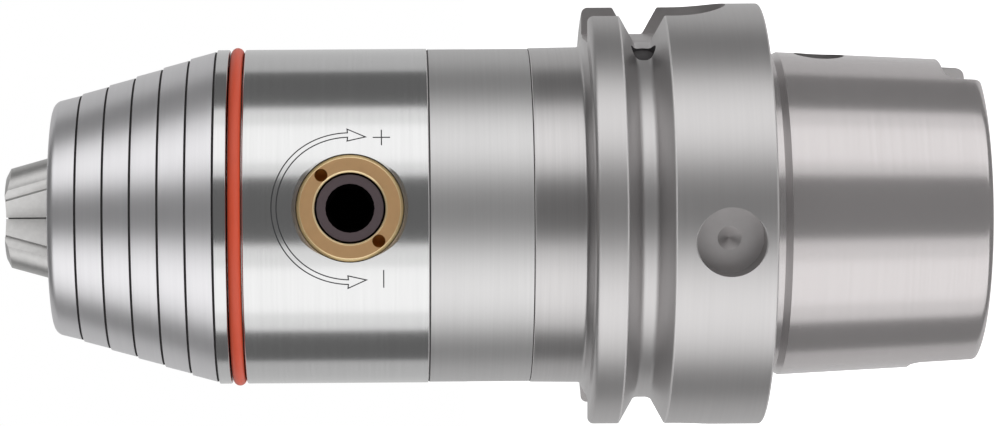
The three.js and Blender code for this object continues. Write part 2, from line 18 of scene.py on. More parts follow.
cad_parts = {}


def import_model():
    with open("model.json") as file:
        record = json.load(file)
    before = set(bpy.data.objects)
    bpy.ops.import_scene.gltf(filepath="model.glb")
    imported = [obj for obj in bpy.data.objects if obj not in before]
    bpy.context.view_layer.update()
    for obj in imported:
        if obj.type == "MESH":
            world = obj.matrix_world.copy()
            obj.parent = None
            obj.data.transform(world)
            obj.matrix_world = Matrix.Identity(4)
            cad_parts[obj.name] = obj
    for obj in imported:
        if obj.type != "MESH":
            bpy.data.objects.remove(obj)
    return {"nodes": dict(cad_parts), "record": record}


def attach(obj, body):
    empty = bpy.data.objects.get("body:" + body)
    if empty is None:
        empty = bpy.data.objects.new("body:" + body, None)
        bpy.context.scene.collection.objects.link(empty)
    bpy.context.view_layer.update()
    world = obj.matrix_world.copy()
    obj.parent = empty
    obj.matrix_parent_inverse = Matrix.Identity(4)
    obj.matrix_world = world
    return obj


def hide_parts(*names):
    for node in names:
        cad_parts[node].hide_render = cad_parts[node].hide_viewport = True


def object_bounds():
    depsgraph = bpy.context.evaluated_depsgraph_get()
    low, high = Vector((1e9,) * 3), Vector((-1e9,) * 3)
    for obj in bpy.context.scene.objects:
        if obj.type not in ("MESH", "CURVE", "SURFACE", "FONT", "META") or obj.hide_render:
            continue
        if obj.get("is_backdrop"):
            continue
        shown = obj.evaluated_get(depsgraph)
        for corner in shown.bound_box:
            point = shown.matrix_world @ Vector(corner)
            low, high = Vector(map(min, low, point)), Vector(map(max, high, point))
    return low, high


LOG = logging.getLogger("drill_chuck")
MM = 0.001
Corner = tuple[float, float, float]


class Way(Enum):
    """How a cutting solid changes the solid it meets."""

    CUT = "DIFFERENCE"
    KEEP = "INTERSECT"
    JOIN = "UNION"


# ---------------------------------------------------------------- mesh helpers


def turn_about_z(points: np.ndarray, degrees: float) -> np.ndarray:
    """Turn points about the Z axis: x' = x cos a - y sin a, y' = x sin a + y cos a.

    Args:
        points: Array whose last axis is x, y, z.
        degrees: The angle, anticlockwise seen from the nose.

    Returns:
        A new array of the same shape.
    """
    a = math.radians(degrees)
    matrix = np.array([[math.cos(a), -math.sin(a), 0], [math.sin(a), math.cos(a), 0], [0, 0, 1]])
    return points @ matrix.T


def z_axis_to_x(points: np.ndarray) -> np.ndarray:
    """Lay what stands along Z down along X: (x, y, z) goes to (z, y, -x)."""
    return np.stack([points[..., 2], points[..., 1], -points[..., 0]], axis=-1)


def rounded_outline(corners: list[Corner], step: float = 15.0) -> np.ndarray:
    """Round the corners of a closed outline.

    A corner between unit directions p (to the previous corner) and n (to the next one) that meet at the
    angle w gets the arc of radius r whose centre lies r / sin(w/2) along the bisector of p and n.

    Args:
        corners: [x, y, radius] of each corner, in order; a radius of 0 keeps it sharp.
        step: The largest turn between two points of an arc, in degrees.

    Returns:
        The points of the closed outline, without repeating the first.
    """
    places = np.array([c[:2] for c in corners], float)
    points = []
    for i, (here, (_, _, radius)) in enumerate(zip(places, corners)):
        to_last = places[i - 1] - here
        to_next = places[(i + 1) % len(places)] - here
        if radius <= 0:
            points.append(here[None])
            continue
        p = to_last / np.linalg.norm(to_last)
        n = to_next / np.linalg.norm(to_next)
        half = 0.5 * math.acos(float(np.clip(p @ n, -1, 1)))
        centre = here + (p + n) / np.linalg.norm(p + n) * radius / math.sin(half)
        start = here + p * radius / math.tan(half) - centre
        end = here + n * radius / math.tan(half) - centre
        sweep = math.atan2(start[0] * end[1] - start[1] * end[0], start @ end)
        count = max(2, int(abs(math.degrees(sweep)) / step) + 1)
        angles = math.atan2(start[1], start[0]) + np.linspace(0, sweep, count + 1)
        points.append(centre + radius * np.stack([np.cos(angles), np.sin(angles)], axis=1))
    return np.concatenate(points)


def spaced(points: np.ndarray, longest: float) -> np.ndarray:
    """Add points to a closed outline so that no side is longer than a limit.

    Args:
        points: The outline's points.
        longest: The longest side allowed.

    Returns:
        The outline with each long side divided evenly.
    """
    sides = []
    for here, there in zip(points, np.roll(points, -1, axis=0)):
        count = max(1, math.ceil(np.linalg.norm(there - here) / longest))
        share = np.arange(count)[:, None] / count
        sides.append(here + (there - here) * share)
    return np.concatenate(sides)


def revolve(outline: np.ndarray, sides: int) -> tuple[np.ndarray, np.ndarray]:
    """Revolve a closed outline about Z: point (r, z) at angle a is (r cos a, r sin a, z).

    Args:
        outline: The [r, z] points, up the outside and down the inside.
        sides: How many steps make the full turn.

    Returns:
        The vertices and the four-cornered faces.
    """
    angles = np.arange(sides) * 2 * math.pi / sides
    radius, height = outline[:, 0][:, None], outline[:, 1][:, None]
    grid = np.stack([radius * np.cos(angles), radius * np.sin(angles), height + 0 * angles], axis=-1)
    rows, columns = len(outline), sides
    i, j = np.meshgrid(np.arange(rows), np.arange(columns), indexing="ij")
    i2, j2 = (i + 1) % rows, (j + 1) % columns
    quads = np.stack([i * columns + j, i * columns + j2, i2 * columns + j2, i2 * columns + j], axis=-1)
    return grid.reshape(-1, 3), quads.reshape(-1, 4)


def loft(levels: np.ndarray) -> tuple[np.ndarray, list[list[int]]]:
    """Join closed outlines, one above the other, into a capped solid.

    Args:
        levels: Array [level, point, xyz]; each outline runs anticlockwise seen from the last level.

    Returns:
        The vertices and the faces.
    """
    count, points = levels.shape[:2]
    i, j = np.meshgrid(np.arange(count - 1), np.arange(points), indexing="ij")
    j2 = (j + 1) % points
    quads = np.stack([i * points + j, i * points + j2, (i + 1) * points + j2, (i + 1) * points + j], axis=-1)
    faces = quads.reshape(-1, 4).tolist()
    faces.append(list(range(points))[::-1])
    faces.append(list(range((count - 1) * points, count * points)))
    return levels.reshape(-1, 3), faces


def make_object(name: str, vertices: np.ndarray, faces: list | np.ndarray) -> bpy.types.Object:
    """Make a mesh object at the origin from millimetre vertices, welded and facing outwards.

    Args:
        name: The object's name.
        vertices: The corner points, in millimetres.
        faces: The corner numbers of each face.

    Returns:
        The linked object.
    """
    mesh = bpy.data.meshes.new(name)
    mesh.from_pydata((vertices * MM).tolist(), [], faces if isinstance(faces, list) else faces.tolist())
    work = bmesh.new()
    work.from_mesh(mesh)
    bmesh.ops.remove_doubles(work, verts=work.verts, dist=1e-7)
    bmesh.ops.dissolve_degenerate(work, edges=work.edges, dist=1e-8)
    bmesh.ops.recalc_face_normals(work, faces=work.faces)
    work.to_mesh(mesh)
    work.free()
    piece = bpy.data.objects.new(name, mesh)
    bpy.context.scene.collection.objects.link(piece)
    return piece


def combine(piece: bpy.types.Object, tool: bpy.types.Object, way: Way, finish: "Finish | None" = None) -> None:
    """Cut, keep or join a piece with a tool solid, which is used up.

    Args:
        piece: The solid that changes.
        tool: The other solid.
        way: What happens where they meet.
        finish: The one of the piece's finishes that the tool leaves on the faces it makes.
    """
    if finish:
        for material in piece.data.materials:
            tool.data.materials.append(material)
        number = piece.data.materials.find(finish.name)
        tool.data.polygons.foreach_set("material_index", np.full(len(tool.data.polygons), number, np.int32))
    change = piece.modifiers.new("combine", "BOOLEAN")
    change.operation = way.value
    change.solver = "EXACT"
    change.object = tool
    bpy.context.view_layer.update()
    finished = bpy.data.meshes.new_from_object(piece.evaluated_get(bpy.context.evaluated_depsgraph_get()))
    piece.modifiers.clear()
    old = piece.data
    piece.data = finished
    bpy.data.meshes.remove(old)
    spent = tool.data
    bpy.data.objects.remove(tool)
    bpy.data.meshes.remove(spent)


def soften_edges(piece: bpy.types.Object, width: float, segments: int = 2, angle: float = 30.0) -> None:
    """Break the sharp edges of a piece with a small bevel, applied to its mesh.

    Args:
        piece: The solid.
        width: The bevel's width, in millimetres.
        segments: How many faces round the edge.
        angle: Edges that turn by more than this many degrees are broken.
    """
    bevel = piece.modifiers.new("break_edges", "BEVEL")
    bevel.width = width * MM
    bevel.segments = segments
    bevel.limit_method = "ANGLE"
    bevel.angle_limit = math.radians(angle)
    bevel.use_clamp_overlap = True
    finished = bpy.data.meshes.new_from_object(piece.evaluated_get(bpy.context.evaluated_depsgraph_get()))
    piece.modifiers.clear()
    piece.data = finished


def shade(piece: bpy.types.Object, angle: float = 28.0) -> None:
    """Shade a piece smooth, with an edge sharp where it turns by more than an angle in degrees."""
    piece.data.shade_smooth()
    piece.data.set_sharp_from_angle(angle=math.radians(angle))


def turned(name: str, corners: list[Corner], sides: int, longest: float) -> bpy.types.Object:
    """Make a turned piece from the corners of its outline.

    Args:
        name: The object's name.
        corners: [radius, z, rounding] of each corner, up the outside and down the inside.
        sides: Steps in the full turn.
        longest: The longest side between two points of the outline.

    Returns:
        The object.
    """
    return make_object(name, *revolve(spaced(rounded_outline(corners), longest), sides))


def round_bar(corners: list[tuple[float, float]], sides: int) -> tuple[np.ndarray, np.ndarray]:
    """Revolve a stepped bar's [radius, distance] corners about Z, closed on the axis at both ends."""
    first, last = corners[0][1], corners[-1][1]
    return revolve(np.array([(0.0, first), *corners, (0.0, last)]), sides)


def radial_bar(
    name: str, corners: list[tuple[float, float]], height: float, degrees: float, sides: int = 64
) -> bpy.types.Object:
    """Make a stepped round bar that lies on a radius of the chuck.

    Args:
        name: The object's name.
        corners: [bar radius, distance from the spindle axis] along the bar.
        height: The bar's height on the spindle axis.
        degrees: The direction it points in.
        sides: Steps round the bar.

    Returns:
        The object.
    """
    vertices, faces = round_bar(corners, sides)
    laid = turn_about_z(z_axis_to_x(vertices), degrees) + (0, 0, height)
    return make_object(name, laid, faces)


def prism(name: str, outline: np.ndarray, low: float, high: float, degrees: float = 0.0) -> bpy.types.Object:
    """Make an upright prism over an [x, y] outline, turned about the spindle axis."""
    flat = np.column_stack([outline, np.zeros(len(outline))])
    levels = np.stack([flat + (0, 0, low), flat + (0, 0, high)])
    return make_object(name, *loft(turn_about_z(levels, degrees)))


def rectangle(x0: float, x1: float, half: float) -> np.ndarray:
    """The outline of a rectangle from x0 to x1 that is centred on the X axis."""
    return np.array([(x0, -half), (x1, -half), (x1, half), (x0, half)])


# ---------------------------------------------------------------- finishes


def linear(code: str) -> tuple[float, float, float, float]:
    """Turn an sRGB hex colour into the linear colour that shaders use.

    Args:
        code: Six hex digits, with a leading #.

    Returns:
        Red, green, blue and an alpha of 1.
    """
    values = [int(code[i : i + 2], 16) / 255 for i in (1, 3, 5)]
    red, green, blue = (v / 12.92 if v <= 0.04045 else ((v + 0.055) / 1.055) ** 2.4 for v in values)
    return red, green, blue, 1.0


def add_node(
    tree: bpy.types.NodeTree, kind: str, settings: dict | None = None, links: dict | None = None
) -> bpy.types.Node:
    """Add a shader node.

    Args:
        tree: The tree it goes into.
        kind: The node's type name, without its prefix.
        settings: Attributes by name, and input values by socket name or number.
        links: Output sockets by the name or number of the input that each feeds.

    Returns:
        The node.
    """
    node = tree.nodes.new("ShaderNode" + kind)
    for key, value in (settings or {}).items():
        if isinstance(key, str) and hasattr(node, key):
            setattr(node, key, value)
        else:
            node.inputs[key].default_value = value
    for key, output in (links or {}).items():
        tree.links.new(output, node.inputs[key])
    return node


@dataclass(frozen=True)
class Grain:
    """Fine relief on a surface: the size of its marks along the spindle axis and across it, in mm."""

    along: float
    across: float
    relief: float
    rough_spread: float = 0.03


@dataclass(frozen=True)
class Finish:
    """A surface finish: what it is made of and how its surface was worked."""

    name: str
    colour: str
    roughness: float
    metallic: float = 1.0
    tint: float = 0.06
    grain: tuple[Grain, ...] = ()
    patch: tuple[float, float] = (0.38, 25.0)

    def material(self) -> bpy.types.Material:
        """Build the material, or find it if it was built already.

        Returns:
            The material.
        """
        known = bpy.data.materials.get(self.name)
        if known:
            return known
        material = bpy.data.materials.new(self.name)
        material.use_nodes = True
        tree = material.node_tree
        shader = tree.nodes["Principled BSDF"]
        shader.inputs["Metallic"].default_value = self.metallic
        shader.inputs["Roughness"].default_value = self.roughness
        place = add_node(tree, "TexCoord").outputs["Object"]
        self._tint(tree, shader, place)
        self._relief(tree, shader, place)
        return material

    def _tint(self, tree: bpy.types.NodeTree, shader: bpy.types.Node, place: bpy.types.NodeSocket) -> None:
        """Vary the colour over patches of the given size along the spindle axis and across it."""
        along, across = self.patch
        stretch = (1 / (across * MM), 1 / (across * MM), 1 / (along * MM))
        mapping = add_node(tree, "Mapping", {"Scale": stretch}, {"Vector": place})
        noise = add_node(tree, "TexNoise", {"Scale": 1.0, "Detail": 4.0}, {"Vector": mapping.outputs[0]})
        base = np.array(linear(self.colour)[:3])
        dark, light = ((*(base * (1 + change)), 1) for change in (-self.tint, self.tint))
        colours = {"data_type": "RGBA", 6: dark, 7: light}
        mix = add_node(tree, "Mix", colours, {0: noise.outputs["Fac"]})
        tree.links.new(mix.outputs[2], shader.inputs["Base Color"])

    def _relief(self, tree: bpy.types.NodeTree, shader: bpy.types.Node, place: bpy.types.NodeSocket) -> None:
        """Add each grain as a stretched noise that drives the bump and the roughness."""
        normal = None
        for grain in self.grain:
            stretch = (1 / (grain.across * MM), 1 / (grain.across * MM), 1 / (grain.along * MM))
            mapping = add_node(tree, "Mapping", {"Scale": stretch}, {"Vector": place})
            noise = add_node(tree, "TexNoise", {"Scale": 1.0, "Detail": 3.0}, {"Vector": mapping.outputs[0]})
            links = {"Height": noise.outputs["Fac"]}
            if normal:
                links["Normal"] = normal
            bump = add_node(tree, "Bump", {"Strength": 1.0, "Distance": grain.relief * MM}, links)
            normal = bump.outputs[0]
            spread = add_node(
                tree,
                "MapRange",
                {3: self.roughness - grain.rough_spread, 4: self.roughness + grain.rough_spread},
                {0: noise.outputs["Fac"]},
            )
            tree.links.new(spread.outputs[0], shader.inputs["Roughness"])
        if normal:
            tree.links.new(normal, shader.inputs["Normal"])


RINGS = Grain(0.2, 30.0, 0.0006)
# Cylindrical grinding leaves very fine rings, so bands of light stay sharp across them.
GROUND_STEEL = Finish("cylindrically_ground_steel", "#c8c8c8", 0.18, tint=0.05, grain=(RINGS,))
# Fine turning leaves rings that spread the light a little more.
TURNED_STEEL = Finish("finely_turned_steel", "#bfbdbd", 0.39, tint=0.04, grain=(Grain(0.3, 40.0, 0.0008),))
# The shank is ground on its taper, with darker shadows than the body.
TAPER_STEEL = Finish("ground_taper_steel", "#b8b4b4", 0.2, 0.85, tint=0.05, grain=(RINGS,))
NECK_STEEL = Finish("turned_neck_steel", "#b9b7b7", 0.31, tint=0.1, grain=(Grain(0.3, 40.0, 0.0008),))
MATTE_STEEL = Finish("satin_blasted_steel", "#c6c5c5", 0.42, grain=(Grain(0.25, 0.25, 0.002),))
SATIN_RINGS = Grain(0.25, 40.0, 0.0006)
NOSE_STEEL = Finish("satin_turned_nose_steel", "#d0cfd1", 0.35, 0.95, tint=0.04, grain=(SATIN_RINGS,))
SINTERED = Grain(0.6, 0.6, 0.004)
JAW_STEEL = Finish("sintered_jaw_steel", "#bdbcbb", 0.4, tint=0.12, grain=(SINTERED,), patch=(0.8, 0.8))
MILLED = Grain(0.5, 0.5, 0.002)
POCKET_STEEL = Finish("milled_pocket_steel", "#b5b2b2", 0.5, grain=(MILLED,), patch=(1.5, 1.5))
# Painted highlight: a paler steel laid on rounded corners, joint lips and the data bore's rim as bright lines
# of light.
EDGE_HIGHLIGHT_STEEL = Finish("painted_highlight_edge_steel", "#cfcdcd", 0.5, 0.85, tint=0.02)
# Painted shade: a dark grey laid in the nose's fine grooves, at the housing's joint and step and in the
# groove's dimple.
SHADE_LINE_STEEL = Finish("painted_shade_line_steel", "#474546", 0.6, 0.4, tint=0.02)
INNER_STEEL = Finish("machined_inner_steel", "#a9abad", 0.38, grain=(Grain(0.3, 20.0, 0.001),))
RACE_STEEL = Finish("polished_bearing_steel", "#d2d3d4", 0.12)
OXIDE = Grain(0.3, 0.3, 0.01)
BLACK_STEEL = Finish("black_oxide_steel", "#5a4f52", 0.5, 0.7, grain=(OXIDE,), patch=(0.5, 0.5))
# Painted shade: near-black laid inside the pinion's hexagon socket and its mouth.
SOCKET_SHADE_BLACK = Finish("painted_shade_socket_black", "#060505", 0.8, tint=0.0)
BRASS = Finish("turned_brass", "#e0b584", 0.4, 0.9, grain=(Grain(0.4, 0.4, 0.002),), patch=(1.5, 1.5))
# Painted shade: a darker brass laid in the bush's spanner holes.
BRASS_HOLE_SHADE = Finish("painted_shade_brass_hole", "#a8763e", 0.5, tint=0.05)
# Painted highlight: a paler brass laid on the bush's bevel.
BRASS_EDGE_HIGHLIGHT = Finish("painted_highlight_brass_edge", "#f3dcae", 0.3, 0.7, tint=0.03)
RUBBER = Finish("orange_seal_rubber", "#b53e20", 0.5, 0.0, grain=(Grain(0.4, 0.4, 0.004),), patch=(0.6, 2.0))
MARK_INK = Finish("laser_marked_steel", "#2c2c2e", 0.6, 0.3, grain=(Grain(0.2, 0.2, 0.001),))


def dress(piece: bpy.types.Object, finish: Finish, slot: str, body: str, *nodes: str) -> None:
    """Give a piece its finish and its body, and hide the CAD nodes it stands for.

    Args:
        piece: The finished mesh object.
        finish: Its surface.
        slot: The record's material slot; not used.
        body: The CAD body it rides on.
        *nodes: CAD nodes that it replaces.
    """
    if not piece.data.materials:
        piece.data.materials.append(finish.material())
    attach(piece, body)
    if nodes:
        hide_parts(*nodes)
    LOG.info("%s: %d faces, rides on %s", piece.name, len(piece.data.polygons), body)


def give_finishes(piece: bpy.types.Object, *finishes: Finish) -> None:
    """Give a piece the finishes that its faces can take; they all start with the first."""
    for finish in finishes:
        piece.data.materials.append(finish.material())


def read_numbers(piece: bpy.types.Object) -> np.ndarray:
    """Read the finish number of every face."""
    numbers = np.zeros(len(piece.data.polygons), np.int32)
    piece.data.polygons.foreach_get("material_index", numbers)
    return numbers


def paint(piece: bpy.types.Object, *rules: tuple[np.ndarray, Finish]) -> None:
    """Give chosen faces their finishes.

    Args:
        piece: The mesh object.
        *rules: A mask of faces and one of the piece's finishes; a later rule wins over an earlier one.
    """
    numbers = read_numbers(piece)
    for where, finish in rules:
        numbers[where] = piece.data.materials.find(finish.name)
    piece.data.polygons.foreach_set("material_index", numbers)


def face_places(piece: bpy.types.Object) -> tuple[np.ndarray, np.ndarray]:
    """Read the middle, in millimetres, and the normal of every face.

    Args:
        piece: The mesh object.

    Returns:
        Two arrays of [face, xyz].
    """
    count = len(piece.data.polygons)
    centres = np.zeros(count * 3)
    normals = np.zeros(count * 3)
    piece.data.polygons.foreach_get("center", centres)
    piece.data.polygons.foreach_get("normal", normals)
    return centres.reshape(-1, 3) / MM, normals.reshape(-1, 3)


# ---------------------------------------------------------------- shank and flange


@dataclass
class Shank:
    """The hollow taper shank with its flange and neck, one turned and milled piece."""

    contact: float = 32.0
    gauge_diameter: float = 48.01
    gauge_depth: float = 6.3
    taper: float = 1 / 9.98
    mouth: float = 17.0
    clamp: float = 20.0
    throat: float = 10.0
    rim: float = 31.5
    groove: float = 27.5
    groove_centre: float = 18.0
    groove_width: float = 6.75
    flange_width: float = 26.0
    neck_radius: float = 25.0
    neck_length: float = 8.38
    spigot_radius: float = 19.7
    spigot_length: float = 3.62
    slot_floor: float = 26.5
    slot_widths: tuple[float, float] = (16.0, 18.0)
    slot_start: float = 5.0
    key_depths: tuple[float, float] = (5.4, 10.0)
    key_levels: tuple[tuple[float, float], ...] = ((5.0, 6.27), (17.9, 6.27), (20.8, 9.15), (26.0, 9.15))
    key_rounding: float = 1.9
    relief: tuple[float, float, float] = (2.8, 0.5, 1.0)
    relief_face: tuple[float, float] = (0.3, 0.6)
    data_bore: tuple[float, float, float] = (5.0, 4.6, 6.7)
    mark: tuple[float, float, float] = (1.8, 1.2, -24.0)
    access: tuple[float, float] = (3.75, 9.0)
    sides: int = 240

    def radius_at(self, z: float) -> float:
        """The taper's radius at a height: it loses half the taper's diameter change on each side."""
        return self.gauge_diameter / 2 - (self.contact - self.gauge_depth - z) * self.taper / 2

    def outline(self) -> list[Corner]:
        """The turned outline's corners, as [radius, z, rounding]."""
        c, rim, floor = self.contact, self.rim, self.groove
        flank = (rim - floor) * math.tan(math.radians(30))
        low = c + self.groove_centre - self.groove_width / 2
        high = c + self.groove_centre + self.groove_width / 2
        front = c + self.flange_width
        joint = front + self.neck_length
        spigot = joint + self.spigot_length
        width, depth, ramp = self.relief
        edge = self.radius_at(c - width)
        into, reach = self.relief_face
        return [
            (self.mouth, 0.0, 0.4),
            (self.radius_at(0), 0.0, 1.2),
            (edge, c - width, 0.0),
            (edge - depth, c - width + ramp, 0.3),
            (edge - depth, c + into, 0.12),
            (edge + reach, c + into, 0.0),
            (edge + reach, c, 0.12),
            (rim, c, 0.35),
            (rim, low, 0.32),
            (floor, low + flank, 0.95),
            (floor, high - flank, 0.95),
            (rim, high, 0.32),
            (rim, front, 0.9),
            (self.neck_radius + 2.0, front, 0.3),
            (self.neck_radius + 0.1, front + 0.9, 0.6),
            (self.neck_radius, joint, 0.16),
            (self.spigot_radius, joint, 0.0),
            (self.spigot_radius, spigot, 0.3),
            (12.0, spigot, 0.0),
            (12.0, spigot - 4, 0.0),
            (7.0, spigot - 4, 0.0),
            (7.0, spigot - 10, 0.0),
            (0.0, spigot - 10, 0.0),
            (0.0, 42.0, 0.0),
            (self.throat, 42.0, 0.0),
            (self.throat, 27.0, 0.3),
            (self.clamp, 27.0, 1.0),
            (self.clamp, 11.0, 0.4),
            (self.mouth, 8.5, 0.4),
        ]

    def flange_slot(self, width: float, degrees: float) -> bpy.types.Object:
        """A driving slot's cutter: a straight channel with a half-round end, carried along the radius."""
        half = width / 2
        centre = self.contact + self.slot_start + half
        top = self.contact + self.flange_width + 1
        turn = np.linspace(math.pi, 2 * math.pi, 33)
        arch = np.stack([half * np.cos(turn), centre + half * np.sin(turn)], axis=1)
        across = np.concatenate([arch, [(half, top), (-half, top)]])
        level = np.column_stack([np.zeros(len(across)), across])
        levels = np.stack([level + (self.slot_floor, 0, 0), level + (self.rim + 1, 0, 0)])
        return make_object("slot_cutter", *loft(turn_about_z(levels, degrees)))

    def key_slot(self, depth: float, degrees: float) -> bpy.types.Object:
        """A cutter for the slot across the shank's end, with rounded corners and sides that open outwards."""
        levels = []
        for x, half in self.key_levels:
            top = [(half, depth, self.key_rounding), (-half, depth, self.key_rounding)]
            across = rounded_outline([(-half, -1.0, 0.0), (half, -1.0, 0.0), *top])
            levels.append(np.column_stack([np.full(len(across), x), across]))
        return make_object("key_cutter", *loft(turn_about_z(np.stack(levels), degrees)))

    def build(self) -> bpy.types.Object:
        """Turn the blank, mill the slots and bores, and dress the piece."""
        piece = turned("shank_and_flange", self.outline(), self.sides, 1.6)
        give_finishes(piece, TURNED_STEEL, TAPER_STEEL, NECK_STEEL, POCKET_STEEL, EDGE_HIGHLIGHT_STEEL, SHADE_LINE_STEEL)
        for width, turn in zip(self.slot_widths, (0, 180)):
            combine(piece, self.flange_slot(width, turn), Way.CUT, POCKET_STEEL)
        for depth, turn in zip(self.key_depths, (0, 180)):
            combine(piece, self.key_slot(depth, turn), Way.CUT, POCKET_STEEL)
        radius, depth, rise = self.data_bore
        floor = self.rim - depth
        drilled = [(0.01, floor - 1.0), (1.7, floor), (radius, floor)]
        bore = [*drilled, (radius, self.rim - 0.2), (radius + 1, self.rim + 0.8)]
        combine(piece, radial_bar("bore", bore, self.contact + rise, -90.0), Way.CUT, POCKET_STEEL)
        radius, depth, turn = self.mark
        floor = self.groove - depth
        hollow = [(0.01, floor), (radius * 0.5, floor + 0.15), (radius * 0.85, floor + 0.45)]
        dimple = [*hollow, (radius, floor + 0.8), (radius, self.rim)]
        mark = radial_bar("dimple", dimple, self.contact + self.groove_centre, turn, 40)
        # The dimple's faces are painted dark grey: painted shade in the recess.
        combine(piece, mark, Way.CUT, SHADE_LINE_STEEL)
        radius, depth = self.access
        access = radial_bar("access", [(radius, 15.0), (radius, 30.0)], self.contact - depth, 0.0)
        combine(piece, access, Way.CUT, POCKET_STEEL)
        shade(piece)
        self._paint(piece)
        dress(piece, TURNED_STEEL, "shank_steel", "body", "hsk_adapter")
        return piece

    def _paint(self, piece: bpy.types.Object) -> None:
        """Tell the taper and the neck from the turned flange, and lay a painted highlight on the rounded
        corners, the neck's joint lip and the data bore's chamfered rim.
        """
        numbers = read_numbers(piece)
        centres, _ = face_places(piece)
        z, radius = centres[:, 2], np.hypot(centres[:, 0], centres[:, 1])
        front = self.contact + self.flange_width
        joint = front + self.neck_length
        groove = self.contact + self.groove_centre
        plain = numbers == 0
        corners = (self.contact, groove - self.groove_width / 2, groove + self.groove_width / 2)
        # Faces at the flange's rounded corners and at the neck's joint lip get a painted highlight.
        corner_highlight = np.any([np.abs(z - corner) < 0.3 for corner in corners], axis=0) & (radius > self.rim - 0.3)
        lip = (z > joint - 0.13) & (z < joint) & (radius > self.neck_radius - 0.2)
        bore_radius, _, rise = self.data_bore
        from_bore = np.hypot(centres[:, 0], z - self.contact - rise)
        # The data bore's chamfered rim also gets a painted highlight.
        cone = (from_bore > bore_radius + 0.02) & (from_bore < bore_radius + 1) & (centres[:, 1] < 0)
        milled = numbers == piece.data.materials.find(POCKET_STEEL.name)
        paint(
            piece,
            (plain & (z < self.contact - 0.05), TAPER_STEEL),
            (plain & (z > front + 0.5), NECK_STEEL),
            (plain & (corner_highlight | lip) | (milled & cone), EDGE_HIGHLIGHT_STEEL),
        )


# ---------------------------------------------------------------- housing, its marks and the seal


@dataclass
class Housing:
    """The ground cylinder with its matte band, bored across for the pinion's bush."""

    base: float = 66.38
    matte_radius: float = 24.9
    matte_length: float = 15.19
    ground_radius: float = 25.0
    ground_length: float = 26.99
    thread_radius: float = 22.9
    thread_depth: float = 7.16
    bore: float = 16.2
    recess: float = 20.0
    recess_depth: float = 5.67
    hole_radius: float = 7.85
    countersink: float = 0.55
    drive_height: float = 26.62
    drive_angle: float = -79.7
    sides: int = 256

    def build(self) -> bpy.types.Object:
        """Turn the cylinder, bore it across and dress it."""
        step = self.base + self.matte_length
        top = step + self.ground_length
        corners = [
            (self.matte_radius - 0.12, self.base, 0.0),
            (self.matte_radius, self.base + 0.12, 0.0),
            (self.matte_radius, step - 0.22, 0.0),
            (self.matte_radius - 0.1, step - 0.17, 0.0),
            (self.matte_radius - 0.1, step, 0.0),
            (self.ground_radius, step, 0.13),
            (self.ground_radius, top, 0.25),
            (self.thread_radius, top, 0.1),
            (self.thread_radius, top - self.thread_depth, 0.0),
            (self.bore, top - self.thread_depth, 0.0),
            (self.bore, self.base + self.recess_depth, 0.0),
            (self.recess, self.base + self.recess_depth, 0.0),
            (self.recess, self.base, 0.0),
        ]
        piece = turned("housing_shell", corners, self.sides, 1.6)
        give_finishes(piece, GROUND_STEEL, MATTE_STEEL, SHADE_LINE_STEEL, EDGE_HIGHLIGHT_STEEL)
        wide = self.hole_radius + self.countersink
        cone = [(self.hole_radius, 24.0), (wide, 24.0 + self.countersink)]
        hole = [(self.hole_radius, 10.0), *cone, (wide, 26.0)]
        height = self.base + self.drive_height
        combine(piece, radial_bar("hole", hole, height, self.drive_angle, 128), Way.CUT)
        shade(piece)
        centres, _ = face_places(piece)
        z, radius = centres[:, 2], np.hypot(centres[:, 0], centres[:, 1])
        outside = radius > self.matte_radius - 0.2
        paint(
            piece,
            (z < step, MATTE_STEEL),
            # Dark grey painted shade at the joint with the neck and in the small step before the ground band.
            (outside & (z < self.base + 0.11), SHADE_LINE_STEEL),
            (outside & (z > step - 0.21) & (z < step + 0.02), SHADE_LINE_STEEL),
            # A painted highlight on the rounded edge just above the step.
            (outside & (z > step + 0.02) & (z < step + 0.13), EDGE_HIGHLIGHT_STEEL),
        )
        dress(piece, GROUND_STEEL, "ground_steel", "body", "housing")
        return piece


